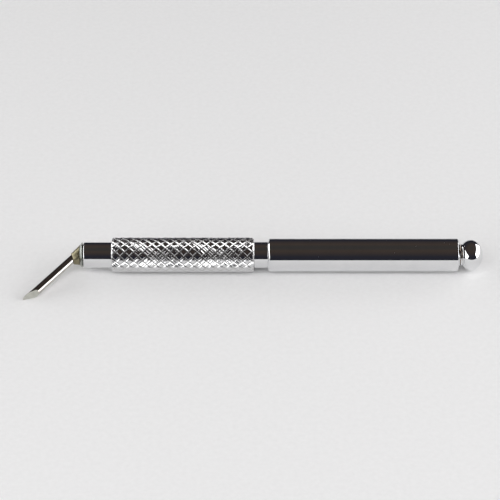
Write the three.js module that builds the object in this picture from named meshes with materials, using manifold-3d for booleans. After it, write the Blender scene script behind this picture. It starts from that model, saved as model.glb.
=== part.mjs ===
// A locking swivel craft knife, lying on a table: a short round cutter that slants out of a swivel head, which turns
// freely in the nose, a knurled grip, a smooth rear barrel that screws forward to lock the swivel, and a ball end.
// Millimetres, +Z up. X runs along the handle, from the cutter to the ball. The origin is on the table, straight
// below the handle's axis, at the middle of the knurled grip.
import * as THREE from "three";
import { mergeVertices } from "three/addons/utils/BufferGeometryUtils.js";
import Module from "manifold-3d";

const wasm = await Module();
wasm.setup();

// ---- Driving dimensions. A station is a distance back along the axis from the nose's front face. ----
const noseRadius = 3.12;
const noseEnd = 7.0;
const gripRadius = 4.15;
const gripEnd = 41.1;
const neckRadius = 3.2;
const barrelRadius = 4.0;
const barrelStart = 44.4;
const barrelEnd = 90.4;
const ballStart = 90.6;
const ballCentre = 93.3;
const ballRadius = 3.6;
const ballHalfLength = 2.7; // the ball is flattened along the handle
const ballCollarRadius = 2.5;
const spindleRadius = 1.25;
const cutterRadius = 1.0;
const cutterBend = THREE.MathUtils.degToRad(49.5);
const bendStation = -1.35; // where the cutter's centreline crosses the axis
const cutterReach = 17.9; // from the bend to the point, along the cutter
const groundStart = 14.2; // from the bend to where the ground tip starts
const lockTravel = 2.0; // how far the barrel and the plunger move forward to lock the swivel

const faceGap = 0.05; // between faces that touch
const fitGap = 0.05; // radial, between a shaft and its hole
const outerSides = 24; // facets round the pieces; one faces straight down
const innerSides = 20;
const chamfer = 0.4;
const restTurn = THREE.MathUtils.degToRad(15.5); // the free cutter hangs down, its point just clear of the table

const gripCentre = (noseEnd + gripEnd) / 2;

const chrome = { color: 0xc9ccd0, roughness: 0.06, metalness: 1 };
const steel = { color: 0xb4b2ae, roughness: 0.2, metalness: 1 };
const warmNickel = { color: 0xa39a74, roughness: 0.2, metalness: 1 };
const bronze = { color: 0xb08850, roughness: 0.35, metalness: 1 };
const rubber = { color: 0x1b1b1b, roughness: 0.8, metalness: 0 };
const fibre = { color: 0x8a5a3c, roughness: 0.8, metalness: 0 };

// ---- Helpers ----

function named(name, geometry, finish) {
  const mesh = new THREE.Mesh(geometry, new THREE.MeshStandardMaterial(finish));
  mesh.name = name;
  return mesh;
}

// A profile of [station, radius] pairs turned about the X axis. It runs from front to back along the outside, and
// closes on itself along the bore when it has one. Radii are measured to the flats of the facets.
function turnedGeometry(profile, sides = innerSides) {
  const toCorners = 1 / Math.cos(Math.PI / sides);
  const bored = profile.every(([, radius]) => radius > 0);
  const outline = bored ? [...profile, profile[0]] : profile;
  const points = outline.map(([station, radius]) => new THREE.Vector2(radius * toCorners, station));
  return new THREE.LatheGeometry(points, sides, Math.PI / sides).rotateZ(-Math.PI / 2);
}

function turned(name, profile, finish, sides = innerSides) {
  return named(name, turnedGeometry(profile, sides), finish);
}

// A plain rod between two stations.
function rodProfile(start, end, radius) {
  return [[start, 0], [start, radius], [end, radius], [end, 0]];
}

// A plain ring between two stations.
function ringProfile(start, end, radius, bore) {
  return [[start, radius], [end, radius], [end, bore], [start, bore]];
}

// A three.js geometry as a manifold solid, and back.
function solid(geometry) {
  const bare = geometry.clone();
  bare.deleteAttribute("normal");
  bare.deleteAttribute("uv");
  const merged = mergeVertices(bare, 1e-4);
  const triVerts = new Uint32Array(merged.index.array);
  return new wasm.Manifold(new wasm.Mesh({ numProp: 3, vertProperties: merged.attributes.position.array, triVerts }));
}

function geometryOf(made) {
  const mesh = made.getMesh();
  return new THREE.BufferGeometry()
    .setAttribute("position", new THREE.BufferAttribute(new Float32Array(mesh.vertProperties), 3))
    .setIndex(new THREE.BufferAttribute(new Uint32Array(mesh.triVerts), 1));
}

// A closed outline in the XY plane, made solid by the same depth on both sides of it.
function slab(shape, halfDepth) {
  return new THREE.ExtrudeGeometry(shape, { depth: 2 * halfDepth, bevelEnabled: false, curveSegments: 6 })
    .translate(0, 0, -halfDepth);
}

// ---- The swivel: cutter, head, spindle and the ring that keeps them in the handle ----

const headBack = -0.65;
const headRadius = 2.4;
const headFront = -2.4;
const headFrontRadius = 1.4;
const washerRadius = 3.05; // against the nose; it tapers to the head
const headStudRadius = 0.75; // of the spindle, in the head
const studDepth = 0.4;
const shankSeat = 0.9; // from the bend to the end of the cutter's shank, inside the head
const spindleEnd = 34.4;
const ringStation = 32.6;
const ringThickness = 0.5;
const ringGrooveRadius = 1.0;

// Turns a geometry made along +X so that it runs from the bend down the cutter, with its +Y side at the back.
function alongCutter(geometry) {
  return geometry.rotateZ(Math.PI + cutterBend).translate(bendStation, 0, 0);
}

// The two sides of the ground tip. On the face, a wheel cuts in behind the cutter and a slanted flat runs on to the
// point; underneath there is a shallower flat, which faces the table.
function faceOutline() {
  const wheelRadius = 0.4;
  const clear = 2 * cutterRadius;
  const flatStart = groundStart + wheelRadius;
  const outline = new THREE.Shape();
  outline.moveTo(shankSeat - 1, -clear);
  outline.lineTo(cutterReach + 1, -clear);
  outline.lineTo(cutterReach, -cutterRadius);
  outline.lineTo(flatStart, cutterRadius - wheelRadius);
  outline.absarc(flatStart, cutterRadius, wheelRadius, -Math.PI / 2, -Math.PI, true);
  outline.lineTo(groundStart, clear);
  outline.lineTo(shankSeat - 1, clear);
  return outline;
}

function undersideOutline() {
  const clear = 2 * cutterRadius;
  const endHeight = 0.3 * cutterRadius; // what it leaves at the point, above the cutter's centreline
  const slope = (cutterRadius - endHeight) / (cutterReach - groundStart);
  const outline = new THREE.Shape();
  outline.moveTo(shankSeat - 1, -clear);
  outline.lineTo(cutterReach + 1, -clear);
  outline.lineTo(cutterReach + 1, endHeight - slope);
  outline.lineTo(groundStart - 1, cutterRadius + slope);
  outline.lineTo(groundStart - 1, clear);
  outline.lineTo(shankSeat - 1, clear);
  return outline;
}

function cutterBlade() {
  const faceTurn = THREE.MathUtils.degToRad(28); // the face looks backwards and up
  const undersideTurn = THREE.MathUtils.degToRad(-80);
  const round = solid(turnedGeometry(rodProfile(shankSeat, cutterReach, cutterRadius), 16));
  const blade = round
    .intersect(solid(slab(faceOutline(), 2).rotateX(faceTurn)))
    .intersect(solid(slab(undersideOutline(), 2).rotateX(undersideTurn)));
  return named("cutter_blade", alongCutter(geometryOf(blade)), steel);
}

// A cone that leans over, so that its front end sits round the slanted cutter.
function leaningCone() {
  const lean = ((bendStation - headFront) * Math.tan(cutterBend)) / (headBack - headFront);
  const profile = [[headFront, 0], [headFront, headFrontRadius], [headBack, headRadius], [headBack, 0]];
  const shear = new THREE.Matrix4().set(1, 0, 0, 0, lean, 1, 0, -lean * headBack, 0, 0, 1, 0, 0, 0, 0, 1);
  return turnedGeometry(profile, outerSides).applyMatrix4(shear);
}

function swivelHead() {
  const shankHole = rodProfile(shankSeat - faceGap, cutterReach, cutterRadius + fitGap);
  const studHole = rodProfile(headBack - studDepth - faceGap, headBack + 1, headStudRadius + fitGap);
  const head = solid(leaningCone())
    .subtract(solid(alongCutter(turnedGeometry(shankHole, 16))))
    .subtract(solid(turnedGeometry(studHole)));
  return named("swivel_head", geometryOf(head), warmNickel);
}

function swivelSpindle() {
  const profile = [
    [headBack - studDepth, 0],
    [headBack - studDepth, headStudRadius],
    [headBack + faceGap, headStudRadius],
    [headBack + faceGap, spindleRadius],
    [ringStation - faceGap, spindleRadius],
    [ringStation - faceGap, ringGrooveRadius],
    [ringStation + ringThickness + faceGap, ringGrooveRadius],
    [ringStation + ringThickness + faceGap, spindleRadius],
    [spindleEnd - 0.2, spindleRadius],
    [spindleEnd, spindleRadius - 0.2],
    [spindleEnd, 0],
  ];
  return turned("swivel_spindle", profile, steel);
}

function retainingRing() {
  const profile = ringProfile(ringStation, ringStation + ringThickness, 1.75, ringGrooveRadius + fitGap);
  const opening = new THREE.BoxGeometry(2, 3, 1.4).translate(ringStation, 1.5, 0);
  const ring = solid(turnedGeometry(profile)).subtract(solid(opening));
  return named("retaining_ring", geometryOf(ring), steel);
}

// ---- The handle: nose, grip, core tube and the bushes that the spindle turns in ----

const bushRadius = 1.85;
const shankRadius = 2.55; // of the nose and the core tube, inside the grip
const frontShankEnd = 13.5;
const coreStart = 14.5;
const rearBushStart = 26;
const rearBushEnd = 32.3;
const neckEnd = 49;
const threadRadius = 2.9;
const coreEnd = 58.5;
const springStart = 50.5; // the shoulder in the core tube that the return spring stands on
const springBore = 2.35;
const keyStation = 38.6;
const keyRadius = 0.45;
const keyHalfLength = 2.4;
const frictionRingStation = 46.4;

function thrustWasher() {
  const profile = [
    [headBack + faceGap, headRadius],
    [-faceGap, washerRadius],
    [-faceGap, spindleRadius + fitGap],
    [headBack + faceGap, spindleRadius + fitGap],
  ];
  return turned("thrust_washer", profile, steel, outerSides);
}

function noseCollar() {
  const profile = [
    [0, noseRadius - chamfer],
    [chamfer, noseRadius],
    [noseEnd, noseRadius],
    [noseEnd, shankRadius],
    [frontShankEnd, shankRadius],
    [frontShankEnd, bushRadius + 0.02],
    [1.0, bushRadius + 0.02],
    [1.0, spindleRadius + 0.1],
    [0, spindleRadius + 0.1],
  ];
  return turned("nose_collar", profile, chrome, outerSides);
}

function bush(name, start, end) {
  return turned(name, ringProfile(start, end, bushRadius, spindleRadius + fitGap), bronze);
}

function gripSleeve() {
  const profile = [
    [noseEnd + faceGap, gripRadius - chamfer],
    [noseEnd + faceGap + chamfer, gripRadius],
    [gripEnd - chamfer, gripRadius],
    [gripEnd, gripRadius - chamfer],
    [gripEnd, shankRadius + fitGap],
    [noseEnd + faceGap, shankRadius + fitGap],
  ];
  return turned("grip_sleeve", profile, chrome, outerSides);
}

function coreTube() {
  const ringSeat = 0.55;
  const profile = [
    [coreStart, shankRadius],
    [gripEnd + faceGap, shankRadius],
    [gripEnd + faceGap, neckRadius],
    [frictionRingStation - ringSeat, neckRadius],
    [frictionRingStation - ringSeat, threadRadius - 0.25],
    [frictionRingStation + ringSeat, threadRadius - 0.25],
    [frictionRingStation + ringSeat, neckRadius],
    [neckEnd, neckRadius],
    [neckEnd, threadRadius],
    [coreEnd, threadRadius],
    [coreEnd, springBore],
    [springStart, springBore],
    [springStart, bushRadius + 0.02],
    [coreStart, bushRadius + 0.02],
  ];
  const slotLength = lockTravel + 2 * (keyRadius + 0.2);
  const slotCentre = keyStation - lockTravel / 2;
  const slot = new THREE.BoxGeometry(slotLength, 6, 2 * (keyRadius + fitGap)).translate(slotCentre, 0, 0);
  const tube = solid(turnedGeometry(profile, outerSides)).subtract(solid(slot));
  return named("core_tube", geometryOf(tube), chrome);
}

function frictionRing() {
  const section = new THREE.EllipseCurve(0, 0, 0.27, 0.27).getPoints(8);
  const profile = section.map(({ x, y }) => [frictionRingStation + x, neckRadius - 0.22 - y]);
  return turned("friction_ring", profile.slice(0, -1), rubber);
}

// ---- The lock: a keyed plunger that the barrel pushes against the spindle's tail ----

const plungerRadius = 1.8;
const padThickness = 1.2;
const padStart = spindleEnd + lockTravel + 0.1;
const plungerStart = padStart + padThickness;
const plungerHead = springStart + 6.2;
const plungerEnd = coreEnd + 1.2;
const plungerHeadRadius = springBore - 0.1;
const ballSeatRadius = 1.2;
const springStem = 1.5;

function lockPad() {
  return turned("lock_pad", rodProfile(padStart, plungerStart - faceGap, plungerRadius - 0.1), fibre);
}

function lockPlunger() {
  const profile = [
    [plungerStart, 0],
    [plungerStart, plungerRadius],
    [springStart - 2.4, plungerRadius],
    [springStart - 2.4, springStem],
    [plungerHead, springStem],
    [plungerHead, plungerHeadRadius],
    [plungerEnd, plungerHeadRadius],
    [plungerEnd, ballSeatRadius + 0.1],
    [plungerEnd - ballSeatRadius, ballSeatRadius + 0.1],
    [plungerEnd - ballSeatRadius, 0],
  ];
  const keyHole = turnedGeometry(rodProfile(-3, 3, keyRadius + fitGap), 16)
    .rotateZ(Math.PI / 2)
    .translate(keyStation, 0, 0);
  const plunger = solid(turnedGeometry(profile)).subtract(solid(keyHole));
  return named("lock_plunger", geometryOf(plunger), steel);
}

function keyPin() {
  const pin = turned("key_pin", rodProfile(-keyHalfLength, keyHalfLength, keyRadius), steel, 16);
  pin.rotation.z = Math.PI / 2;
  pin.position.x = keyStation;
  return pin;
}

function thrustBall() {
  const ball = named("thrust_ball", new THREE.SphereGeometry(ballSeatRadius, 16, 12), steel);
  ball.position.x = plungerEnd + faceGap;
  return ball;
}

class SpringCurve extends THREE.Curve {
  getPoint(t) {
    const turns = 6;
    const wireRadius = 0.2;
    const meanRadius = springStem + 0.4;
    const start = springStart + wireRadius + faceGap;
    const end = plungerHead - wireRadius - faceGap;
    const angle = 2 * Math.PI * turns * t;
    return new THREE.Vector3(start + (end - start) * t, meanRadius * Math.cos(angle), meanRadius * Math.sin(angle));
  }
}

function returnSpring() {
  const section = new THREE.Shape(new THREE.EllipseCurve(0, 0, 0.2, 0.2).getPoints(6).slice(0, -1));
  const wire = new THREE.ExtrudeGeometry(section, { steps: 96, extrudePath: new SpringCurve(), bevelEnabled: false });
  return named("return_spring", wire, steel);
}

// ---- The barrel: tube, threaded liner, push rod, end plug and ball ----

const barrelBore = 3.4;
const rimStation = barrelEnd - 0.6; // the tube's end is turned in to a rim that holds the plug
const rimBore = 2.75;
const endTaper = 0.5;
const linerStart = 51;
const linerEnd = 57;
const plugStart = 84.5;
const pushRodRadius = 1.5;
const studRadius = 1.0;

function barrelTube() {
  const profile = [
    [barrelStart, barrelRadius - chamfer],
    [barrelStart + chamfer, barrelRadius],
    [barrelEnd - endTaper, barrelRadius],
    [barrelEnd, rimBore + 0.2],
    [barrelEnd, rimBore],
    [rimStation, rimBore],
    [rimStation, barrelBore],
    [neckEnd + 0.6, barrelBore],
    [neckEnd + 0.6, neckRadius + 0.06],
    [barrelStart, neckRadius + 0.06],
  ];
  return turned("barrel_tube", profile, chrome, outerSides);
}

function threadedLiner() {
  return turned("threaded_liner", ringProfile(linerStart, linerEnd, barrelBore - 0.02, threadRadius + fitGap), bronze,
    outerSides);
}

function endPlug() {
  const profile = [
    [plugStart, barrelBore - 0.02],
    [rimStation - faceGap, barrelBore - 0.02],
    [rimStation - faceGap, rimBore - 0.02],
    [barrelEnd, rimBore - 0.02],
    [barrelEnd, studRadius + 0.02],
    [plugStart, studRadius + 0.02],
  ];
  return turned("end_plug", profile, bronze, outerSides);
}

function pushRod() {
  const seatDepth = 0.7;
  const start = plungerEnd + faceGap + ballSeatRadius - seatDepth;
  const profile = [
    [start + seatDepth + faceGap, 0],
    [start + seatDepth + faceGap, 1.1],
    [start, 1.3],
    [start, pushRodRadius],
    [plugStart - faceGap, pushRodRadius],
    [plugStart - faceGap, studRadius],
    [plugStart + 2, studRadius],
    [plugStart + 2, 0],
  ];
  return turned("push_rod", profile, steel);
}

function ballEnd() {
  const stemEnd = 87;
  const steps = 13;
  const collarAngle = Math.asin(ballCollarRadius / ballRadius);
  const profile = [
    [stemEnd, 0],
    [stemEnd, studRadius],
    [ballStart, studRadius],
    [ballStart, ballCollarRadius],
  ];
  for (let i = 0; i <= steps; i += 1) {
    const angle = collarAngle + ((Math.PI - collarAngle) * i) / steps;
    const radius = i === steps ? 0 : ballRadius * Math.sin(angle);
    profile.push([ballCentre - ballHalfLength * Math.cos(angle), radius]);
  }
  return turned("ball_end", profile, chrome, outerSides);
}

// ---- The knife ----

const swivel = new THREE.Group();
swivel.rotation.x = restTurn;
swivel.add(cutterBlade(), swivelHead(), swivelSpindle(), retainingRing());

const handle = new THREE.Group();
handle.add(thrustWasher(), noseCollar(), bush("front_bush", 1.1, 11), gripSleeve());
handle.add(coreTube(), bush("rear_bush", rearBushStart, rearBushEnd), frictionRing());

const lock = new THREE.Group();
lock.add(lockPad(), lockPlunger(), keyPin(), thrustBall(), returnSpring());

const barrel = new THREE.Group();
barrel.add(barrelTube(), threadedLiner(), pushRod(), endPlug(), ballEnd());

const knife = new THREE.Group();
knife.add(swivel, handle, lock, barrel);
knife.position.set(-gripCentre, 0, gripRadius);

const part = new THREE.Group();
part.add(knife);
export default part;
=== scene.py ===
import math

import bmesh
import bpy
from mathutils import Matrix, Vector


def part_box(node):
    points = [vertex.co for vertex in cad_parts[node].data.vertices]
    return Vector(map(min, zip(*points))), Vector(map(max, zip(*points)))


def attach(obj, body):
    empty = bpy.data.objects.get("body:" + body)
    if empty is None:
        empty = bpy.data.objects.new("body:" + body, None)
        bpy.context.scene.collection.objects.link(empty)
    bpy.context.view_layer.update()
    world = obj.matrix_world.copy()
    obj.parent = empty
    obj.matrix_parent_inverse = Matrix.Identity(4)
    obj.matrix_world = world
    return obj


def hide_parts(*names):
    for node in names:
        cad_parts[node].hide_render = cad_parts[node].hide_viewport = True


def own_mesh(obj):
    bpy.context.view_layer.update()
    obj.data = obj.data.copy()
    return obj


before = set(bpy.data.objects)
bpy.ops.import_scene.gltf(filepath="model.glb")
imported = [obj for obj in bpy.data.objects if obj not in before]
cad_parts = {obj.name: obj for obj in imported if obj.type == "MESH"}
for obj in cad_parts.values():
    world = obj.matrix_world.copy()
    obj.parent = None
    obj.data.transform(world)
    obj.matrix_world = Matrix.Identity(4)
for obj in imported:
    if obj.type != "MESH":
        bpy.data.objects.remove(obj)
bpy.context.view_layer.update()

mm = 0.001
barrelLow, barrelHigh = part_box("barrel_tube")
axisHeight = (barrelLow.z + barrelHigh.z) / 2
axisTurn = Matrix.Translation((0, 0, axisHeight))
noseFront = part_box("nose_collar")[0].x  # stations along the handle are measured back from here


def span(node):
    # where a turned CAD node starts and ends along the handle, and its radius
    low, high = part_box(node)
    return low.x, high.x, (high.z - low.z) / 2


def link(obj):
    bpy.context.scene.collection.objects.link(obj)
    return obj


def finishMesh(name, bm, material, sharpAngle=32):
    bmesh.ops.remove_doubles(bm, verts=bm.verts, dist=1e-7)
    bmesh.ops.recalc_face_normals(bm, faces=bm.faces)
    mesh = bpy.data.meshes.new(name)
    bm.to_mesh(mesh)
    bm.free()
    mesh.materials.append(material)
    mesh.shade_smooth()
    mesh.set_sharp_from_angle(angle=math.radians(sharpAngle))
    return link(bpy.data.objects.new(name, mesh))


def rounded(corners, closed):
    # corners are (station, radius, rounding); every rounding becomes a short arc
    points = []
    count = len(corners)
    for i, (station, radius, size) in enumerate(corners):
        here = Vector((station, radius))
        if size <= 0 or (not closed and i in (0, count - 1)):
            points.append(here)
            continue
        before = Vector(corners[i - 1][:2]) - here
        after = Vector(corners[(i + 1) % count][:2]) - here
        start = here + before.normalized() * size
        end = here + after.normalized() * size
        steps = 6
        for k in range(steps + 1):
            t = k / steps
            points.append(start * (1 - t) ** 2 + here * 2 * t * (1 - t) + end * t ** 2)
    return points


def turned(name, corners, material, segments=128):
    # a profile turned about the handle's axis; it is closed along the bore when no point is on the axis
    solidCore = corners[0][1] == 0
    outline = rounded(corners, closed=not solidCore)
    bm = bmesh.new()
    rings = []
    for point in outline:
        if point.y < 1e-9:
            rings.append([bm.verts.new((point.x, 0, axisHeight))])
            continue
        ring = []
        for k in range(segments):
            angle = 2 * math.pi * k / segments
            ring.append(bm.verts.new((
                point.x,
                point.y * math.sin(angle),
                axisHeight + point.y * math.cos(angle),
            )))
        rings.append(ring)
    pairs = list(zip(rings, rings[1:]))
    if not solidCore:
        pairs.append((rings[-1], rings[0]))
    for a, b in pairs:
        for k in range(segments):
            n = (k + 1) % segments
            if len(a) == 1:
                bm.faces.new((a[0], b[k], b[n]))
            elif len(b) == 1:
                bm.faces.new((a[k], b[0], a[n]))
            else:
                bm.faces.new((a[k], b[k], b[n], a[n]))
    return finishMesh(name, bm, material)


def shaped(obj, shapers, operation):
    # cuts a mesh with others, keeps the result as a plain mesh and removes the others
    for shaper in shapers:
        modifier = obj.modifiers.new(shaper.name, "BOOLEAN")
        modifier.operation = operation
        modifier.solver = "EXACT"
        modifier.object = shaper
    evaluated = obj.evaluated_get(bpy.context.evaluated_depsgraph_get())
    mesh = bpy.data.meshes.new_from_object(evaluated)
    obj.modifiers.clear()
    obj.data = mesh
    for shaper in shapers:
        bpy.data.objects.remove(shaper)
    mesh.shade_smooth()
    mesh.set_sharp_from_angle(angle=math.radians(24))
    return obj


def boxShape(name, low, high):
    bm = bmesh.new()
    bmesh.ops.create_cube(bm, size=1)
    low, high = Vector(low), Vector(high)
    bm.transform(Matrix.Translation((low + high) / 2) @ Matrix.Diagonal((*(high - low), 1)))
    mesh = bpy.data.meshes.new(name)
    bm.to_mesh(mesh)
    bm.free()
    return link(bpy.data.objects.new(name, mesh))


def ballCorners(centre, halfLength, radius, first=0.0, steps=32):
    # the outline of a ball from an angle at its front round to its back
    corners = []
    for k in range(steps):
        angle = first + (math.pi - first) * k / steps
        corners.append((centre - halfLength * math.cos(angle), radius * math.sin(angle), 0))
    corners.append((centre + halfLength, 0, 0))
    return corners


def place(piece, body, slotName, *nodes):
    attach(piece, body)
    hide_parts(*nodes)
    return piece


def calc(tree, operation, *values):
    # one Math node; numbers go on its sockets, other nodes' outputs are linked
    node = tree.nodes.new("ShaderNodeMath")
    node.operation = operation
    for socket, value in zip(node.inputs, values):
        if isinstance(value, bpy.types.NodeSocket):
            tree.links.new(value, socket)
        else:
            socket.default_value = value
    return node.outputs[0]


def newMaterial(name):
    material = bpy.data.materials.new(name)
    material.use_nodes = True
    tree = material.node_tree
    return material, tree, tree.nodes["Principled BSDF"]


def noise(tree, vector, scale, detail=4.0, roughness=0.6):
    node = tree.nodes.new("ShaderNodeTexNoise")
    node.inputs["Scale"].default_value = scale
    node.inputs["Detail"].default_value = detail
    node.inputs["Roughness"].default_value = roughness
    tree.links.new(vector, node.inputs["Vector"])
    return node.outputs["Fac"]


def stretched(tree, scale):
    # object coordinates, squeezed so that a pattern runs along one direction
    coordinates = tree.nodes.new("ShaderNodeTexCoord")
    mapping = tree.nodes.new("ShaderNodeMapping")
    mapping.inputs["Scale"].default_value = scale
    tree.links.new(coordinates.outputs["Object"], mapping.inputs["Vector"])
    return mapping.outputs["Vector"]


def ramp(tree, value, stops):
    node = tree.nodes.new("ShaderNodeValToRGB")
    node.color_ramp.elements[0].position = stops[0][0]
    node.color_ramp.elements[0].color = (*stops[0][1], 1)
    node.color_ramp.elements[1].position = stops[-1][0]
    node.color_ramp.elements[1].color = (*stops[-1][1], 1)
    for position, color in stops[1:-1]:
        element = node.color_ramp.elements.new(position)
        element.color = (*color, 1)
    tree.links.new(value, node.inputs["Fac"])
    return node.outputs["Color"]


def mapped(tree, value, low, high, fromLow=0.0, fromHigh=1.0):
    node = tree.nodes.new("ShaderNodeMapRange")
    tree.links.new(value, node.inputs["Value"])
    node.inputs["From Min"].default_value = fromLow
    node.inputs["From Max"].default_value = fromHigh
    node.inputs["To Min"].default_value = low
    node.inputs["To Max"].default_value = high
    return node.outputs["Result"]


def colorMix(tree, factor):
    # a colour mix with its first and second colour sockets and its result
    mix = tree.nodes.new("ShaderNodeMix")
    mix.data_type = "RGBA"
    tree.links.new(factor, mix.inputs["Factor"])
    return mix.inputs[6], mix.inputs[7], mix.outputs[2]


def bump(tree, shader, height, strength, distance):
    node = tree.nodes.new("ShaderNodeBump")
    node.inputs["Strength"].default_value = strength
    node.inputs["Distance"].default_value = distance
    tree.links.new(height, node.inputs["Height"])
    tree.links.new(node.outputs["Normal"], shader.inputs["Normal"])


def metal(name, dark, light, rough, grainScale, grainStrength=0.1, grainDepth=0.01 * mm, pitted=False):
    # a metal with cloudy tint, hairlines along one direction, and roughness that follows both
    material, tree, shader = newMaterial(name)
    shader.inputs["Metallic"].default_value = 1
    clouds = noise(tree, stretched(tree, (1, 1, 1)), 260, detail=5)
    hairlines = noise(tree, stretched(tree, grainScale), 1, detail=3)
    tree.links.new(ramp(tree, clouds, [(0.3, dark), (0.7, light)]), shader.inputs["Base Color"])
    mixed = calc(tree, "MULTIPLY_ADD", hairlines, 0.5, calc(tree, "MULTIPLY", clouds, 0.5))
    roughness = mapped(tree, mixed, rough[0], rough[1], 0.3, 0.7)
    if pitted:
        # a few tiny pits in the plating scatter the light
        specks = noise(tree, stretched(tree, (1, 1, 1)), 1500, detail=2)
        roughness = calc(tree, "ADD", roughness, mapped(tree, specks, 0.0, 0.5, 0.76, 0.80))
    tree.links.new(roughness, shader.inputs["Roughness"])
    bump(tree, shader, hairlines, grainStrength, grainDepth)
    return material


chromePlate = metal(
    "chromePlate", (0.75, 0.755, 0.765), (0.81, 0.81, 0.815), (0.015, 0.06), (900, 16000, 16000),
    grainStrength=0.04, grainDepth=0.002 * mm, pitted=True)
turnedSteel = metal(
    "turnedSteel", (0.42, 0.42, 0.41), (0.55, 0.55, 0.54), (0.18, 0.34), (30000, 600, 600))
washerSteel = metal(
    "washerSteel", (0.36, 0.38, 0.35), (0.46, 0.48, 0.44), (0.16, 0.28), (3000, 20000, 20000))
warmNickel = metal(
    "warmNickel", (0.20, 0.18, 0.11), (0.30, 0.27, 0.18), (0.24, 0.34), (4000, 16000, 16000),
    grainStrength=0.12, grainDepth=0.006 * mm)
turnedBronze = metal(
    "turnedBronze", (0.52, 0.33, 0.15), (0.66, 0.45, 0.24), (0.22, 0.4), (30000, 600, 600))


def soft(name, dark, light, rough, scale):
    # a dull material with mottled tint and a fine grain
    material, tree, shader = newMaterial(name)
    clouds = noise(tree, stretched(tree, (1, 1, 1)), scale, detail=6)
    tree.links.new(ramp(tree, clouds, [(0.3, dark), (0.7, light)]), shader.inputs["Base Color"])
    tree.links.new(mapped(tree, clouds, rough[0], rough[1], 0.3, 0.7), shader.inputs["Roughness"])
    bump(tree, shader, noise(tree, stretched(tree, (1, 1, 1)), scale * 8), 0.3, 0.02 * mm)
    return material


blackRubber = soft("blackRubber", (0.010, 0.010, 0.011), (0.022, 0.022, 0.023), (0.45, 0.7), 900)
brownFibre = soft("brownFibre", (0.16, 0.07, 0.035), (0.28, 0.13, 0.07), (0.6, 0.85), 1500)


def knurlChrome():
    # the plating is bright on the crests and is painted darker and rougher down in the grooves, as painted
    # shade
    material, tree, shader = newMaterial("knurlChrome")
    shader.inputs["Metallic"].default_value = 1
    depth = tree.nodes.new("ShaderNodeAttribute")
    depth.attribute_name = "groove"
    clouds = noise(tree, stretched(tree, (1, 1, 1)), 300, detail=5)
    # painted shade: the deeper a point lies in a groove, the darker and warmer its colour, mottled a little
    # by clouds
    grooveShade = calc(tree, "MULTIPLY", depth.outputs["Fac"], calc(tree, "MULTIPLY_ADD", clouds, 0.8, 0.2))
    tint = ramp(tree, grooveShade, [
        (0.0, (0.72, 0.72, 0.73)),
        (0.45, (0.62, 0.62, 0.62)),
        (1.0, (0.36, 0.35, 0.33)),
    ])
    tree.links.new(tint, shader.inputs["Base Color"])
    tree.links.new(mapped(tree, grooveShade, 0.10, 0.34), shader.inputs["Roughness"])
    bump(tree, shader, noise(tree, stretched(tree, (1, 1, 1)), 5200, detail=3), 0.12, 0.01 * mm)
    return material


viewing = {
    "elevation": 37.5,  # degrees above the table
    "frameWidth": 120 * mm,  # how much of the knife's length the frame takes in
    "lens": 180,
    "aimAlong": 16.1 * mm,  # along the handle from the origin
    "aimAbove": 1.18 * mm,  # above the handle's axis, across the view
}

lighting = {
    "leftDirection": -84,  # degrees round from the camera
    "leftSize": (1.5, 0.42),
    "leftPower": 5.6,
    "rightDirection": 96,
    "rightSize": (1.0, 0.42),
    "rightPower": 4.6,
    "sideHeight": 19,  # degrees above the table
    "sideDistance": 0.65,
    "overheadDirection": 0,
    "overheadSize": (1.3, 0.8),
    "overheadPower": 7.0,
    "overheadHeight": 54,
    "overheadDistance": 1.1,
}


def makeCamera():
    data = bpy.data.cameras.new("camera")
    data.lens = viewing["lens"]
    data.clip_start = 0.01
    camera = link(bpy.data.objects.new("camera", data))
    elevation = math.radians(viewing["elevation"])
    back = Vector((0, -math.cos(elevation), math.sin(elevation)))
    up = Vector((0, math.sin(elevation), math.cos(elevation)))
    aim = Vector((viewing["aimAlong"], 0, axisHeight)) + up * viewing["aimAbove"]
    distance = viewing["frameWidth"] * data.lens / data.sensor_width
    camera.location = aim + back * distance
    camera.rotation_euler = (math.pi / 2 - elevation, 0, 0)
    bpy.context.scene.camera = camera


def makeLight(kind, height, distance):
    data = bpy.data.lights.new(kind + "Softbox", "AREA")
    data.shape = "RECTANGLE"
    data.size, data.size_y = lighting[kind + "Size"]
    data.energy = lighting[kind + "Power"]
    light = link(bpy.data.objects.new(kind + "Softbox", data))
    turn = math.radians(lighting[kind + "Direction"])
    rise = math.radians(lighting[height])
    towards = Vector((math.sin(turn) * math.cos(rise), -math.cos(turn) * math.cos(rise), math.sin(rise)))
    middle = Vector((viewing["aimAlong"], 0, 0))
    light.location = middle + towards * lighting[distance]
    light.rotation_euler = towards.to_track_quat("Z", "Y").to_euler()
    return light


def makeWorld():
    # a dark room for what the chrome reflects, and a pale one straight behind the knife
    world = bpy.data.worlds.new("room")
    bpy.context.scene.world = world
    world.use_nodes = True
    tree = world.node_tree
    background = tree.nodes["Background"]
    coordinates = tree.nodes.new("ShaderNodeTexCoord")
    parts = tree.nodes.new("ShaderNodeSeparateXYZ")
    tree.links.new(coordinates.outputs["Generated"], parts.inputs["Vector"])
    height = mapped(tree, parts.outputs["Z"], 0, 1, -0.1, 1)
    room = ramp(tree, height, [
        (0.0, (0.017, 0.018, 0.025)),
        (0.45, (0.023, 0.024, 0.033)),
        (0.7, (0.040, 0.033, 0.033)),
        (0.92, (0.056, 0.043, 0.036)),
        (1.0, (0.042, 0.039, 0.037)),
    ])
    path = tree.nodes.new("ShaderNodeLightPath")
    reflected, seen, color = colorMix(tree, path.outputs["Is Camera Ray"])
    tree.links.new(room, reflected)
    seen.default_value = (0.78, 0.78, 0.79, 1)
    tree.links.new(color, background.inputs["Color"])


floorRadius = 1.6


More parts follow.
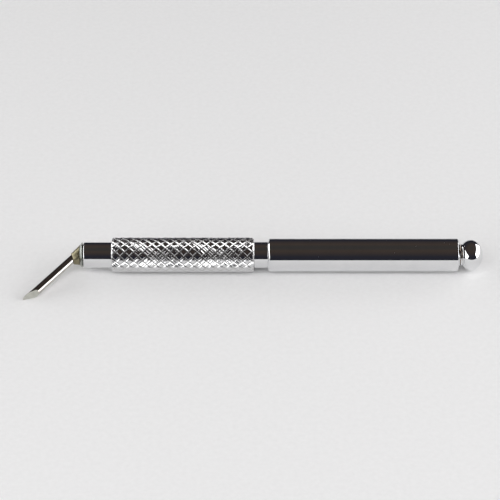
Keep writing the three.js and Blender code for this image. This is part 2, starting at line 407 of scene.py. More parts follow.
def makeFloor():
    material, tree, shader = newMaterial("paper")
    grain = noise(tree, stretched(tree, (1, 1, 1)), 900, detail=6)
    tree.links.new(ramp(tree, grain, [(0.3, (0.86, 0.86, 0.862)), (0.7, (0.90, 0.90, 0.902))]),
                   shader.inputs["Base Color"])
    shader.inputs["Roughness"].default_value = 0.9
    shader.inputs["Specular IOR Level"].default_value = 0.2
    bump(tree, shader, grain, 0.1, 0.02 * mm)
    bm = bmesh.new()
    bmesh.ops.create_circle(bm, cap_ends=True, radius=floorRadius, segments=96)
    mesh = bpy.data.meshes.new("floor")
    bm.to_mesh(mesh)
    bm.free()
    mesh.materials.append(material)
    floor = link(bpy.data.objects.new("floor", mesh))


bpy.context.scene.view_settings.view_transform = "Standard"
makeCamera()
makeLight("left", "sideHeight", "sideDistance")
makeLight("right", "sideHeight", "sideDistance")
overhead = makeLight("overhead", "overheadHeight", "overheadDistance")
overhead.visible_glossy = False  # it only lights the paper
makeWorld()
makeFloor()
print("camera, lights and floor")


knurl = {
    "starts": 12,  # grooves round the grip, each way
    "cells": 15,  # mesh cells from groove to groove
    "grooveCells": 2.8,  # half the width of a groove, in cells
    "grooveDepth": 0.26 * mm,
    "secondStarts": 30,  # a second, finer pass fades in and out between the grooves
    "secondCells": 2.0,
    "secondDepth": 0.16 * mm,
    "wavesRound": 3.0,
    "wavesAlong": 2.3,
    "endChamfer": 0.3 * mm,
    "bore": 2.62 * mm,
}


def finished(tree, geometry, material):
    # the end of every node tree: real geometry with its material
    realize = tree.nodes.new("GeometryNodeRealizeInstances")
    tree.links.new(geometry, realize.inputs["Geometry"])
    paint = tree.nodes.new("GeometryNodeSetMaterial")
    tree.links.new(realize.outputs["Geometry"], paint.inputs["Geometry"])
    tree.links.new(material, paint.inputs["Material"])
    tree.links.new(paint.outputs["Geometry"], tree.nodes.new("NodeGroupOutput").inputs["Geometry"])


def groove(tree, position, period, width, depth):
    # a V cut at every period, as a height below the crests
    along = calc(tree, "FLOORED_MODULO", position, period)
    distance = calc(tree, "MINIMUM", along, calc(tree, "SUBTRACT", period, along))
    opened = calc(tree, "MINIMUM", calc(tree, "DIVIDE", distance, width), 1.0)
    return calc(tree, "MULTIPLY", calc(tree, "SUBTRACT", opened, 1.0), depth)


def knurledSleeveTree():
    tree = bpy.data.node_groups.new("knurledSleeve", "GeometryNodeTree")
    sockets = {}
    for name, kind in [
        ("Around", "NodeSocketInt"), ("Rows", "NodeSocketInt"), ("Cells", "NodeSocketFloat"),
        ("Groove Cells", "NodeSocketFloat"), ("Groove Depth", "NodeSocketFloat"),
        ("Second Period", "NodeSocketFloat"), ("Second Cells", "NodeSocketFloat"),
        ("Second Depth", "NodeSocketFloat"),
        ("Waves Round", "NodeSocketFloat"), ("Waves Along", "NodeSocketFloat"),
        ("Radius", "NodeSocketFloat"), ("Bore", "NodeSocketFloat"), ("Start", "NodeSocketFloat"),
        ("End", "NodeSocketFloat"), ("Chamfer", "NodeSocketFloat"), ("Axis Height", "NodeSocketFloat"),
        ("Material", "NodeSocketMaterial"),
    ]:
        sockets[name] = tree.interface.new_socket(name=name, in_out="INPUT", socket_type=kind)
    tree.interface.new_socket(name="Geometry", in_out="OUTPUT", socket_type="NodeSocketGeometry")
    given = tree.nodes.new("NodeGroupInput").outputs
    # rows run: bore, the whole outside, bore, and back to where they began
    turns = calc(tree, "ADD", given["Rows"], 3.0)
    grid = tree.nodes.new("GeometryNodeMeshGrid")
    tree.links.new(given["Around"], grid.inputs["Size X"])
    tree.links.new(turns, grid.inputs["Size Y"])
    tree.links.new(calc(tree, "ADD", given["Around"], 1.0), grid.inputs["Vertices X"])
    tree.links.new(calc(tree, "ADD", turns, 1.0), grid.inputs["Vertices Y"])
    triangles = tree.nodes.new("GeometryNodeTriangulate")
    triangles.quad_method = "FIXED"
    tree.links.new(grid.outputs["Mesh"], triangles.inputs["Mesh"])
    where = tree.nodes.new("ShaderNodeSeparateXYZ")
    tree.links.new(tree.nodes.new("GeometryNodeInputPosition").outputs[0], where.inputs[0])
    column = calc(tree, "ROUND", calc(tree, "MULTIPLY_ADD", given["Around"], 0.5, where.outputs["X"]))
    row = calc(tree, "ROUND", calc(tree, "MULTIPLY_ADD", turns, 0.5, where.outputs["Y"]))
    # each row is turned half a cell from the last, so mesh edges run along both sets of grooves
    angle = calc(tree, "MULTIPLY", calc(tree, "MULTIPLY_ADD", row, -0.5, column),
                 calc(tree, "DIVIDE", 2 * math.pi, given["Around"]))
    slanted = calc(tree, "SUBTRACT", column, row)
    outer = calc(tree, "MINIMUM", calc(tree, "MAXIMUM", calc(tree, "SUBTRACT", row, 1.0), 0.0), given["Rows"])
    length = calc(tree, "SUBTRACT", given["End"], given["Start"])
    along = calc(tree, "MULTIPLY", calc(tree, "DIVIDE", outer, given["Rows"]), length)
    last = calc(tree, "GREATER_THAN", row, calc(tree, "ADD", given["Rows"], 2.5))
    along = calc(tree, "MULTIPLY", along, calc(tree, "SUBTRACT", 1.0, last))
    inBore = calc(tree, "MAXIMUM", calc(tree, "LESS_THAN", row, 0.5),
                  calc(tree, "GREATER_THAN", row, calc(tree, "ADD", given["Rows"], 1.5)))
    heights = []
    for position, side in ((column, 1.0), (slanted, -1.0)):
        deep = groove(tree, position, given["Cells"], given["Groove Cells"], given["Groove Depth"])
        roundwise = calc(tree, "MULTIPLY", calc(tree, "MULTIPLY", angle, given["Waves Round"]), side)
        lengthwise = calc(tree, "MULTIPLY", calc(tree, "DIVIDE", along, length), given["Waves Along"])
        fade = calc(tree, "SINE", calc(tree, "MULTIPLY_ADD", lengthwise, 2 * math.pi, roundwise))
        shallow = calc(tree, "MULTIPLY", given["Second Depth"], calc(tree, "MAXIMUM", fade, 0.0))
        between = calc(tree, "MULTIPLY_ADD", given["Second Period"], 0.5, position)
        second = groove(tree, between, given["Second Period"], given["Second Cells"], shallow)
        heights.append(calc(tree, "MINIMUM", deep, second))
    cut = calc(tree, "MINIMUM", heights[0], heights[1])
    crest = calc(tree, "ADD", given["Radius"], cut)
    rim = calc(tree, "SUBTRACT", given["Radius"], given["Chamfer"])
    nearEnd = calc(tree, "MINIMUM", along, calc(tree, "SUBTRACT", length, along))
    outside = calc(tree, "MINIMUM", crest, calc(tree, "ADD", rim, nearEnd))
    shift = calc(tree, "MULTIPLY", inBore, calc(tree, "SUBTRACT", given["Bore"], outside))
    radius = calc(tree, "ADD", outside, shift)
    put = tree.nodes.new("ShaderNodeCombineXYZ")
    tree.links.new(calc(tree, "ADD", given["Start"], along), put.inputs["X"])
    tree.links.new(calc(tree, "MULTIPLY", radius, calc(tree, "SINE", angle)), put.inputs["Y"])
    tree.links.new(calc(tree, "MULTIPLY_ADD", radius, calc(tree, "COSINE", angle), given["Axis Height"]),
                   put.inputs["Z"])
    # how deep each point lies is kept for the finish, which paints shade into the grooves
    keep = tree.nodes.new("GeometryNodeStoreNamedAttribute")
    keep.data_type = "FLOAT"
    keep.domain = "POINT"
    keep.inputs["Name"].default_value = "groove"
    tree.links.new(triangles.outputs["Mesh"], keep.inputs["Geometry"])
    share = calc(tree, "DIVIDE", cut, calc(tree, "MULTIPLY", given["Groove Depth"], -1.0))
    tree.links.new(calc(tree, "MULTIPLY", share, calc(tree, "SUBTRACT", 1.0, inBore)), keep.inputs["Value"])
    move = tree.nodes.new("GeometryNodeSetPosition")
    tree.links.new(keep.outputs["Geometry"], move.inputs["Geometry"])
    tree.links.new(put.outputs["Vector"], move.inputs["Position"])
    weld = tree.nodes.new("GeometryNodeMergeByDistance")
    weld.inputs["Distance"].default_value = 0.001 * mm
    tree.links.new(move.outputs["Geometry"], weld.inputs["Geometry"])
    finished(tree, weld.outputs["Geometry"], given["Material"])
    return tree, sockets


def grown(name, tree, sockets, values, base=None):
    # runs a node tree on a mesh, or on an empty one, and keeps the result as a plain mesh
    obj = base or link(bpy.data.objects.new(name, bpy.data.meshes.new(name)))
    modifier = obj.modifiers.new(name, "NODES")
    modifier.node_group = tree
    for label, value in values.items():
        modifier[sockets[label].identifier] = value
    evaluated = obj.evaluated_get(bpy.context.evaluated_depsgraph_get())
    mesh = bpy.data.meshes.new_from_object(evaluated)
    mesh.name = name
    obj.modifiers.clear()
    obj.data = mesh
    bm = bmesh.new()
    bm.from_mesh(mesh)
    if bm.calc_volume(signed=True) < 0:
        bmesh.ops.reverse_faces(bm, faces=bm.faces)
    bm.to_mesh(mesh)
    bm.free()
    return obj


def makeGrip():
    start, end, radius = span("grip_sleeve")
    around = knurl["starts"] * knurl["cells"]
    rowHeight = math.pi * radius / around
    rows = round((end - start) / rowHeight)
    rows += 1 - rows % 2  # an odd number, so that the last row meets the first
    tree, sockets = knurledSleeveTree()
    grip = grown("grip", tree, sockets, {
        "Around": around, "Rows": rows, "Cells": float(knurl["cells"]),
        "Groove Cells": knurl["grooveCells"], "Groove Depth": knurl["grooveDepth"],
        "Second Period": around / knurl["secondStarts"], "Second Cells": knurl["secondCells"],
        "Second Depth": knurl["secondDepth"],
        "Waves Round": knurl["wavesRound"], "Waves Along": knurl["wavesAlong"],
        "Radius": radius, "Bore": knurl["bore"], "Start": start, "End": end,
        "Chamfer": knurl["endChamfer"], "Axis Height": axisHeight, "Material": knurlChrome(),
    })
    place(grip, "handle", "knurled_chrome", "grip_sleeve")
    print("grip:", len(grip.data.polygons), "faces")


makeGrip()


nose = {
    "frontChamfer": 0.42 * mm,
    "rounding": 0.10 * mm,
    "bore": 1.35 * mm,
    "shankRadius": 2.55 * mm,
    "shankStart": 7.0 * mm,  # from the front face
    "bushSeat": 1.0 * mm,
    "bushBore": 1.87 * mm,
    "washerFront": 2.45 * mm,
    "washerLip": 0.08 * mm,
}


def makeNose():
    start, end, radius = span("nose_collar")
    edge = nose["rounding"]
    corners = [
        (start, radius - nose["frontChamfer"], edge),
        (start + nose["frontChamfer"], radius, edge),
        (start + nose["shankStart"], radius, 0.02 * mm),
        (start + nose["shankStart"], nose["shankRadius"], 0),
        (end, nose["shankRadius"], 0.1 * mm),
        (end, nose["bushBore"], 0),
        (start + nose["bushSeat"], nose["bushBore"], 0),
        (start + nose["bushSeat"], nose["bore"], 0),
        (start, nose["bore"], 0.05 * mm),
    ]
    place(turned("nose", corners, chromePlate), "handle", "chrome_plate", "nose_collar")


def makeWasher():
    # it tapers from the nose down to the swivel head
    start, end, radius = span("thrust_washer")
    edge = 0.05 * mm
    corners = [
        (start, nose["washerFront"], edge),
        (end - nose["washerLip"], radius, edge),
        (end, radius, edge),
        (end, nose["bore"], 0),
        (start, nose["bore"], 0),
    ]
    place(turned("thrustWasher", corners, washerSteel), "handle", "bright_steel", "thrust_washer")


makeNose()
makeWasher()
print("nose and washer")


barrel = {
    "frontChamfer": 0.42 * mm,
    "frontBore": 3.26 * mm,
    "innerBore": 3.4 * mm,
    "boreStep": 5.2 * mm,  # from the front, where the bore widens
    "backTaper": 0.5 * mm,
    "backRadius": 2.95 * mm,
    "rimBore": 2.75 * mm,
    "rimThickness": 0.6 * mm,
    "rounding": 0.12 * mm,
}

ball = {
    "radius": 3.68 * mm,
    "frontHalfLength": 3.3 * mm,
    "backHalfLength": 2.75 * mm,
    "collarRadius": 2.62 * mm,
    "collarStart": 3.6 * mm,  # from the front of the stem that is screwed into the plug
    "stemRadius": 1.0 * mm,
}


def makeBarrel():
    start, end, radius = span("barrel_tube")
    edge = barrel["rounding"]
    corners = [
        (start, radius - barrel["frontChamfer"], edge),
        (start + barrel["frontChamfer"], radius, edge),
        (end - barrel["backTaper"], radius, edge),
        (end, barrel["backRadius"], edge),
        (end, barrel["rimBore"], 0),
        (end - barrel["rimThickness"], barrel["rimBore"], 0),
        (end - barrel["rimThickness"], barrel["innerBore"], 0),
        (start + barrel["boreStep"], barrel["innerBore"], 0),
        (start + barrel["boreStep"], barrel["frontBore"], 0),
        (start, barrel["frontBore"], 0.05 * mm),
    ]
    place(turned("barrel", corners, chromePlate), "barrel", "chrome_plate", "barrel_tube")


def makeBall():
    start, end, _ = span("ball_end")
    collar = start + ball["collarStart"]
    corners = [
        (start, 0, 0),
        (start, ball["stemRadius"], 0.1 * mm),
        (collar, ball["stemRadius"], 0),
        (collar, ball["collarRadius"], 0.12 * mm),
    ]
    middle = end - ball["backHalfLength"]
    first = math.asin(ball["collarRadius"] / ball["radius"])
    front = ballCorners(middle, ball["frontHalfLength"], ball["radius"], first)
    back = ballCorners(middle, ball["backHalfLength"], ball["radius"])
    split = middle - 0.01 * mm
    corners += [corner for corner in front if corner[0] < split]
    corners += [corner for corner in back if corner[0] > split]
    place(turned("ballEnd", corners, chromePlate), "barrel", "chrome_plate", "ball_end")


makeBarrel()
makeBall()
print("barrel and ball")


swivel = {
    "bend": math.radians(49.5),
    "hang": math.radians(15.5),  # how far below level the free cutter hangs
    "bendInFront": 0.70 * mm,  # from the head's back face to where the cutter's centreline starts
    "length": 1.75 * mm,
    "baseRadius": 2.42 * mm,
    "frontRadius": 1.36 * mm,
    "frontLean": math.radians(20),
    "frontRounding": 0.16 * mm,
    "capShare": 0.6,  # of the radius: where each flat end starts
}

cutter = {
    "radius": 1.0 * mm,
    "shankStart": 0.9 * mm,  # all lengths are from the bend, along the cutter
    "groundStart": 14.2 * mm,
    "point": 17.9 * mm,
    "wheelRadius": 0.4 * mm,  # of the step where the ground flat starts
    "faceTurn": math.radians(28),  # the face looks backwards and up
    "undersideTurn": math.radians(-80),
    "undersidePoint": 0.3,  # of the radius: how far below the centreline the underside ends
}

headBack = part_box("swivel_head")[1].x
bendPoint = Vector((headBack - swivel["bendInFront"], 0, axisHeight))
swivelPlace = (
    axisTurn @ Matrix.Rotation(swivel["hang"], 4, "X") @ Matrix.Translation((bendPoint.x, 0, 0))
)
cutterPlace = swivelPlace @ Matrix.Rotation(math.pi + swivel["bend"], 4, "Z")


def makeHead():
    # a cone whose middle shifts over, so that its front sits round the slanted cutter
    segments = 96
    length = swivel["length"]
    shift = (length - swivel["bendInFront"]) * math.tan(swivel["bend"])
    outline = rounded([
        (0, swivel["capShare"] * swivel["baseRadius"], 0),
        (0, swivel["baseRadius"], 0.06 * mm),
        (length, swivel["frontRadius"], swivel["frontRounding"]),
        (length, swivel["capShare"] * cutter["radius"], 0),
    ], closed=False)
    bm = bmesh.new()
    rings = []
    for point in outline:
        share = point.x / length
        lean = swivel["frontLean"] * share ** 2
        centre = Vector((swivel["bendInFront"] - point.x, -shift * share, 0))
        side = Vector((math.sin(lean), -math.cos(lean), 0))
        ring = []
        for k in range(segments):
            angle = 2 * math.pi * k / segments
            offset = side * math.cos(angle) + Vector((0, 0, math.sin(angle)))
            ring.append(bm.verts.new(centre + offset * point.y))
        rings.append(ring)
    for a, b in zip(rings, rings[1:]):
        for k in range(segments):
            n = (k + 1) % segments
            bm.faces.new((a[k], a[n], b[n], b[k]))
    bm.faces.new(rings[0])
    bm.faces.new(rings[-1])
    bm.transform(swivelPlace)
    head = finishMesh("swivelHead", bm, warmNickel, 40)
    place(head, "swivel", "warm_nickel", "swivel_head")


def faceOutline():
    # a wheel cuts in behind the cutter, then a slanted flat runs to the point
    clear = 2 * cutter["radius"]
    wheel = cutter["wheelRadius"]
    outline = [
        (cutter["shankStart"] - mm, -clear),
        (cutter["point"] + mm, -clear),
        (cutter["point"], -cutter["radius"]),
    ]
    steps = 10
    for k in range(steps + 1):
        angle = math.pi / 2 * k / steps
        outline.append((
            cutter["groundStart"] + wheel - wheel * math.sin(angle),
            cutter["radius"] - wheel * math.cos(angle),
        ))
    outline.append((cutter["groundStart"], clear))
    outline.append((cutter["shankStart"] - mm, clear))
    return outline


def undersideOutline():
    # a shallower flat that faces the table
    clear = 2 * cutter["radius"]
    drop = (1 - cutter["undersidePoint"]) * cutter["radius"]
    slope = drop / (cutter["point"] - cutter["groundStart"])
    return [
        (cutter["shankStart"] - mm, -clear),
        (cutter["point"] + mm, -clear),
        (cutter["point"] + mm, cutter["radius"] - drop - slope * mm),
        (cutter["groundStart"] - mm, cutter["radius"] + slope * mm),
        (cutter["groundStart"] - mm, clear),
        (cutter["shankStart"] - mm, clear),
    ]


def prism(name, outline, halfDepth, turn):
    # an outline of lengths along the cutter and distances across it, given depth and turned round the cutter
    bm = bmesh.new()
    low, high = [
        [bm.verts.new((along, across, depth)) for along, across in outline]
        for depth in (-halfDepth, halfDepth)
    ]
    bm.faces.new(low)
    bm.faces.new(list(reversed(high)))
    for k in range(len(low)):
        n = (k + 1) % len(low)
        bm.faces.new((low[k], high[k], high[n], low[n]))
    bmesh.ops.recalc_face_normals(bm, faces=bm.faces)
    bm.transform(Matrix.Rotation(turn, 4, "X"))
    mesh = bpy.data.meshes.new(name)
    bm.to_mesh(mesh)
    bm.free()
    return link(bpy.data.objects.new(name, mesh))


def makeCutter():
    segments = 64
    bm = bmesh.new()
    bmesh.ops.create_cone(
        bm, cap_ends=True, segments=segments, radius1=cutter["radius"], radius2=cutter["radius"],
        depth=cutter["point"] - cutter["shankStart"])
    bm.transform(Matrix.Translation(((cutter["point"] + cutter["shankStart"]) / 2, 0, 0))
                 @ Matrix.Rotation(math.pi / 2, 4, "Y"))
    blade = finishMesh("cutter", bm, cutterSteel())
    shaped(blade, [
        prism("faceShape", faceOutline(), 3 * mm, cutter["faceTurn"]),
        prism("undersideShape", undersideOutline(), 3 * mm, cutter["undersideTurn"]),
    ], "INTERSECT")
    blade.data.transform(cutterPlace)
    place(blade, "swivel", "cutter_steel", "cutter_blade")


def cutterSteel():
    # a polished round rod with a satin flat, where the wheel has left fine lines across it
    material, tree, shader = newMaterial("cutterSteel")
    shader.inputs["Metallic"].default_value = 1
    toCutter = cutterPlace.inverted()
    coordinates = tree.nodes.new("ShaderNodeTexCoord")
    mapping = tree.nodes.new("ShaderNodeMapping")
    mapping.inputs["Location"].default_value = toCutter.to_translation()
    mapping.inputs["Rotation"].default_value = toCutter.to_euler()
    tree.links.new(coordinates.outputs["Object"], mapping.inputs["Vector"])
    parts = tree.nodes.new("ShaderNodeSeparateXYZ")
    tree.links.new(mapping.outputs["Vector"], parts.inputs["Vector"])
    fromAxis = calc(tree, "SQRT", calc(
        tree, "MULTIPLY_ADD", parts.outputs["Y"], parts.outputs["Y"],
        calc(tree, "MULTIPLY", parts.outputs["Z"], parts.outputs["Z"])))
    onFlat = calc(tree, "LESS_THAN", fromAxis, 0.985 * cutter["radius"])
    nearPoint = calc(tree, "GREATER_THAN", parts.outputs["X"], cutter["groundStart"])
    ground = calc(tree, "MULTIPLY", onFlat, nearPoint)
    clouds = noise(tree, mapping.outputs["Vector"], 700, detail=5)
    rodTint = ramp(tree, clouds, [(0.3, (0.52, 0.49, 0.46)), (0.7, (0.66, 0.63, 0.60))])
    groundTint = ramp(tree, clouds, [(0.3, (0.60, 0.60, 0.54)), (0.7, (0.74, 0.74, 0.68))])
    rodColor, groundColor, color = colorMix(tree, ground)
    tree.links.new(rodTint, rodColor)
    tree.links.new(groundTint, groundColor)
    tree.links.new(color, shader.inputs["Base Color"])
    squeeze = tree.nodes.new("ShaderNodeMapping")
    squeeze.inputs["Scale"].default_value = (22000, 1500, 1500)
    tree.links.new(mapping.outputs["Vector"], squeeze.inputs["Vector"])
    wheelLines = noise(tree, squeeze.outputs["Vector"], 1, detail=2)
    roughness = mapped(tree, ground, 0.07, 0.45)
    varied = calc(tree, "MULTIPLY", roughness, mapped(tree, wheelLines, 0.8, 1.3, 0.3, 0.7))
    tree.links.new(varied, shader.inputs["Roughness"])
    height = calc(tree, "MULTIPLY", wheelLines, mapped(tree, ground, 0.1, 1.0))
    bump(tree, shader, height, 0.25, 0.006 * mm)
    return material


makeHead()
makeCutter()
print("head and cutter")


# the pieces inside: every corner is a station back from the nose's front face, a radius and a rounding,
# all in millimetres; a profile starts and ends on the axis, or closes on itself along its bore
inside = {
    "coreTube": ("core_tube", "handle", "chrome_plate", chromePlate, [
        (14.5, 2.55, 0.1), (41.15, 2.55, 0), (41.15, 3.2, 0.1), (45.85, 3.2, 0.08), (45.85, 2.65, 0.1),
        (46.95, 2.65, 0.1), (46.95, 3.2, 0.08), (49, 3.2, 0.2), (49, 2.9, 0),
        *[(49.1 + 0.1 * k, 2.9, 0) for k in range(92)],
        (58.5, 2.9, 0.15), (58.5, 2.35, 0.05), (50.5, 2.35, 0), (50.5, 1.87, 0.05), (14.5, 1.87, 0.05),
    ]),
    "spindle": ("swivel_spindle", "swivel", "bright_steel", turnedSteel, [
        (-1.05, 0, 0), (-1.05, 0.75, 0.1), (-0.6, 0.75, 0), (-0.6, 1.25, 0.05), (32.55, 1.25, 0.03),
        (32.55, 1.0, 0), (33.15, 1.0, 0), (33.15, 1.25, 0.03), (34.4, 1.25, 0.25), (34.4, 0, 0),
    ]),
    "retainingRing": ("retaining_ring", "swivel", "bright_steel", turnedSteel, [
        (32.6, 1.75, 0.08), (33.1, 1.75, 0.08), (33.1, 1.05, 0.05), (32.6, 1.05, 0.05),
    ]),
    "frontBush": ("front_bush", "handle", "bronze", turnedBronze, [
        (1.1, 1.85, 0.1), (11, 1.85, 0.1), (11, 1.3, 0.1), (1.1, 1.3, 0.1),
    ]),
    "rearBush": ("rear_bush", "handle", "bronze", turnedBronze, [
        (26, 1.85, 0.1), (32.3, 1.85, 0.1), (32.3, 1.3, 0.1), (26, 1.3, 0.1),
    ]),
    "frictionRing": ("friction_ring", "handle", "black_rubber", blackRubber, [
        (46.4 + 0.27 * math.cos(math.radians(a)), 2.98 - 0.27 * math.sin(math.radians(a)), 0)
        for a in range(0, 360, 15)
    ]),
    "lockPad": ("lock_pad", "lock", "brown_fibre", brownFibre, [
        (36.5, 0, 0), (36.5, 1.7, 0.15), (37.65, 1.7, 0.15), (37.65, 0, 0),
    ]),
    "lockPlunger": ("lock_plunger", "lock", "bright_steel", turnedSteel, [
        (37.7, 0, 0), (37.7, 1.8, 0.15), (48.1, 1.8, 0.15), (48.1, 1.5, 0.1), (56.7, 1.5, 0.1),
        (56.7, 2.25, 0.1), (59.7, 2.25, 0.15), (59.7, 1.3, 0.1), (58.5, 1.3, 0.3), (58.5, 0, 0),
    ]),
    "thrustBall": ("thrust_ball", "lock", "bright_steel", turnedSteel, ballCorners(59.75, 1.2, 1.2)),
    "threadedLiner": ("threaded_liner", "barrel", "bronze", turnedBronze, [
        (51.1, 3.38, 0.1), (57, 3.38, 0.1), (57, 2.95, 0),
        *[(56.9 - 0.1 * k, 2.95, 0) for k in range(58)],
        (51.1, 2.95, 0),
    ]),
    "pushRod": ("push_rod", "barrel", "bright_steel", turnedSteel, [
        (61, 0, 0), (61, 1.1, 0), (60.25, 1.3, 0), (60.25, 1.5, 0.08), (84.45, 1.5, 0.1),
        (84.45, 1.0, 0.05), (86.5, 1.0, 0.15), (86.5, 0, 0),
    ]),
    "endPlug": ("end_plug", "barrel", "bronze", turnedBronze, [
        (84.5, 3.38, 0.1), (89.75, 3.38, 0), (89.75, 2.73, 0), (90.4, 2.73, 0.1), (90.4, 1.02, 0.05),
        (84.5, 1.02, 0.05),
    ]),
}

key = {
    "station": 38.6 * mm,
    "radius": 0.45 * mm,
    "halfLength": 2.4 * mm,
    "clearance": 0.05 * mm,
    "slotStart": 35.95 * mm,  # the key slides in this slot as the plunger moves forward
    "slotEnd": 39.25 * mm,
}

cutReach = 3 * mm  # from the axis to outside every piece that is cut

opening = {
    "width": 1.4 * mm,  # of the retaining ring
    "start": 32 * mm,
    "end": 34 * mm,
}

thread = {
    "pitch": 1.0 * mm,
    "depth": 0.2 * mm,
    "start": 49.2 * mm,
    "end": 58.2 * mm,
    "onCore": (2.88 * mm, 2.92 * mm),  # the radii between which the thread is cut
    "onLiner": (2.93 * mm, 2.97 * mm),
}

spring = {
    "turns": 6.0,
    "wireRadius": 0.2 * mm,
    "meanRadius": 1.9 * mm,
    "start": 50.55 * mm,
    "end": 56.65 * mm,
    "travel": 2.01 * mm,  # how much shorter the locked spring is
}


def keyShape(name, radius, halfLength):
    # a round key straight across the handle
    middle = Vector((noseFront + key["station"], 0, axisHeight))
    edge = 0.08 * mm
    corners = [
        (-halfLength, 0, 0),
        (-halfLength, radius, edge),
        (halfLength, radius, edge),
        (halfLength, 0, 0),
    ]
    pin = turned(name, corners, turnedSteel, 48)
    across = Matrix.Rotation(math.pi / 2, 4, "Z")
    pin.data.transform(Matrix.Translation(middle) @ across @ axisTurn.inverted())
    return pin


def threadTree():
    # sinks a V-shaped screw thread into the part of a turned mesh between two radii
    tree = bpy.data.node_groups.new("screwThread", "GeometryNodeTree")
    sockets = {}
    tree.interface.new_socket(name="Geometry", in_out="INPUT", socket_type="NodeSocketGeometry")
    for name in ("Start", "End", "Pitch", "Depth", "Least Radius", "Most Radius", "Axis Height"):
        sockets[name] = tree.interface.new_socket(name=name, in_out="INPUT", socket_type="NodeSocketFloat")
    sockets["Material"] = tree.interface.new_socket(
        name="Material", in_out="INPUT", socket_type="NodeSocketMaterial")
    tree.interface.new_socket(name="Geometry", in_out="OUTPUT", socket_type="NodeSocketGeometry")
    given = tree.nodes.new("NodeGroupInput").outputs
    where = tree.nodes.new("ShaderNodeSeparateXYZ")
    tree.links.new(tree.nodes.new("GeometryNodeInputPosition").outputs[0], where.inputs[0])
    x, y = where.outputs["X"], where.outputs["Y"]
    z = calc(tree, "SUBTRACT", where.outputs["Z"], given["Axis Height"])
    radius = calc(tree, "SQRT", calc(tree, "MULTIPLY_ADD", y, y, calc(tree, "MULTIPLY", z, z)))
    turn = calc(tree, "DIVIDE", calc(tree, "ARCTAN2", y, z), 2 * math.pi)
    phase = calc(tree, "FRACT", calc(tree, "ADD", calc(tree, "DIVIDE", x, given["Pitch"]), turn))
    flank = calc(tree, "ABSOLUTE", calc(tree, "MULTIPLY_ADD", phase, 2.0, -1.0))
    fromStart = calc(tree, "SUBTRACT", x, given["Start"])
    toEnd = calc(tree, "SUBTRACT", given["End"], x)
    turnsIn = calc(tree, "DIVIDE", calc(tree, "MINIMUM", fromStart, toEnd), given["Pitch"])
    runOut = calc(tree, "MAXIMUM", calc(tree, "MINIMUM", turnsIn, 1.0), 0.0)
    inBand = calc(tree, "MULTIPLY", calc(tree, "GREATER_THAN", radius, given["Least Radius"]),
                  calc(tree, "LESS_THAN", radius, given["Most Radius"]))
    sink = calc(tree, "MULTIPLY", calc(tree, "MULTIPLY", flank, given["Depth"]),
                calc(tree, "MULTIPLY", runOut, inBand))
    scale = calc(tree, "DIVIDE", calc(tree, "SUBTRACT", radius, sink), radius)
    put = tree.nodes.new("ShaderNodeCombineXYZ")
    tree.links.new(x, put.inputs["X"])
    tree.links.new(calc(tree, "MULTIPLY", y, scale), put.inputs["Y"])
    tree.links.new(calc(tree, "MULTIPLY_ADD", z, scale, given["Axis Height"]), put.inputs["Z"])
    move = tree.nodes.new("GeometryNodeSetPosition")
    tree.links.new(given["Geometry"], move.inputs["Geometry"])
    tree.links.new(put.outputs["Vector"], move.inputs["Position"])
    finished(tree, move.outputs["Geometry"], given["Material"])
    return tree, sockets


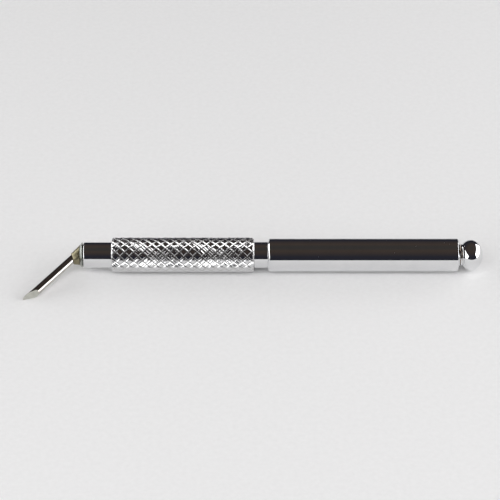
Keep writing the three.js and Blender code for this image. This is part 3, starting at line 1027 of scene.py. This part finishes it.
def springTree():
    # a round wire that follows a helix along the handle
    tree = bpy.data.node_groups.new("coilSpring", "GeometryNodeTree")
    sockets = {}
    for name in ("Turns", "Wire Radius", "Mean Radius", "Start", "End", "Axis Height"):
        sockets[name] = tree.interface.new_socket(name=name, in_out="INPUT", socket_type="NodeSocketFloat")
    sockets["Material"] = tree.interface.new_socket(
        name="Material", in_out="INPUT", socket_type="NodeSocketMaterial")
    tree.interface.new_socket(name="Geometry", in_out="OUTPUT", socket_type="NodeSocketGeometry")
    given = tree.nodes.new("NodeGroupInput").outputs
    wire = given["Wire Radius"]
    length = calc(tree, "SUBTRACT", given["End"], given["Start"])
    helix = tree.nodes.new("GeometryNodeCurveSpiral")
    helix.inputs["Resolution"].default_value = 48
    tree.links.new(given["Turns"], helix.inputs["Rotations"])
    tree.links.new(given["Mean Radius"], helix.inputs["Start Radius"])
    tree.links.new(given["Mean Radius"], helix.inputs["End Radius"])
    tree.links.new(calc(tree, "MULTIPLY_ADD", wire, -2.0, length), helix.inputs["Height"])
    put = tree.nodes.new("ShaderNodeCombineXYZ")
    tree.links.new(calc(tree, "ADD", given["Start"], wire), put.inputs["X"])
    tree.links.new(given["Axis Height"], put.inputs["Z"])
    lay = tree.nodes.new("GeometryNodeTransform")
    lay.inputs["Rotation"].default_value = (0, math.pi / 2, 0)
    tree.links.new(helix.outputs["Curve"], lay.inputs["Geometry"])
    tree.links.new(put.outputs["Vector"], lay.inputs["Translation"])
    section = tree.nodes.new("GeometryNodeCurvePrimitiveCircle")
    section.inputs["Resolution"].default_value = 16
    tree.links.new(wire, section.inputs["Radius"])
    sweep = tree.nodes.new("GeometryNodeCurveToMesh")
    sweep.inputs["Fill Caps"].default_value = True
    tree.links.new(lay.outputs["Geometry"], sweep.inputs["Curve"])
    tree.links.new(section.outputs["Curve"], sweep.inputs["Profile Curve"])
    finished(tree, sweep.outputs["Mesh"], given["Material"])
    return tree, sockets


def makeInside():
    pieces = {}
    for name, (*_, finish, corners) in inside.items():
        placed = [(noseFront + station * mm, radius * mm, edge * mm) for station, radius, edge in corners]
        pieces[name] = turned(name, placed, finish, 96)
    tree, sockets = threadTree()
    for name, depth, (least, most) in (
        ("coreTube", thread["depth"], thread["onCore"]),
        ("threadedLiner", -thread["depth"], thread["onLiner"]),
    ):
        grown(name, tree, sockets, {
            "Start": noseFront + thread["start"], "End": noseFront + thread["end"], "Pitch": thread["pitch"],
            "Depth": depth, "Least Radius": least, "Most Radius": most, "Axis Height": axisHeight,
            "Material": inside[name][3],
        }, pieces[name])
    half = key["radius"] + key["clearance"]
    slot = boxShape(
        "slotShape", (noseFront + key["slotStart"], -cutReach, axisHeight - half),
        (noseFront + key["slotEnd"], cutReach, axisHeight + half))
    shaped(pieces["coreTube"], [slot], "DIFFERENCE")
    shaped(pieces["lockPlunger"], [keyShape("keyHole", half, cutReach)], "DIFFERENCE")
    ring = pieces["retainingRing"]
    half = opening["width"] / 2
    gap = boxShape(
        "openingShape", (noseFront + opening["start"], 0, axisHeight - half),
        (noseFront + opening["end"], cutReach, axisHeight + half))
    shaped(ring, [gap], "DIFFERENCE")
    ring.data.transform(axisTurn @ Matrix.Rotation(swivel["hang"], 4, "X") @ axisTurn.inverted())
    for name, piece in pieces.items():
        node, body, slotName, *_ = inside[name]
        place(piece, body, slotName, node)
    place(keyShape("keyPin", key["radius"], key["halfLength"]), "lock", "bright_steel", "key_pin")


def makeSpring():
    tree, sockets = springTree()
    start, end = noseFront + spring["start"], noseFront + spring["end"]
    coil = grown("returnSpring", tree, sockets, {
        "Turns": spring["turns"], "Wire Radius": spring["wireRadius"], "Mean Radius": spring["meanRadius"],
        "Start": start, "End": end, "Axis Height": axisHeight, "Material": turnedSteel,
    })
    coil.data.shade_smooth()
    place(coil, "handle", "bright_steel", "return_spring")
    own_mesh(coil)


makeInside()
makeSpring()
print("the pieces inside")
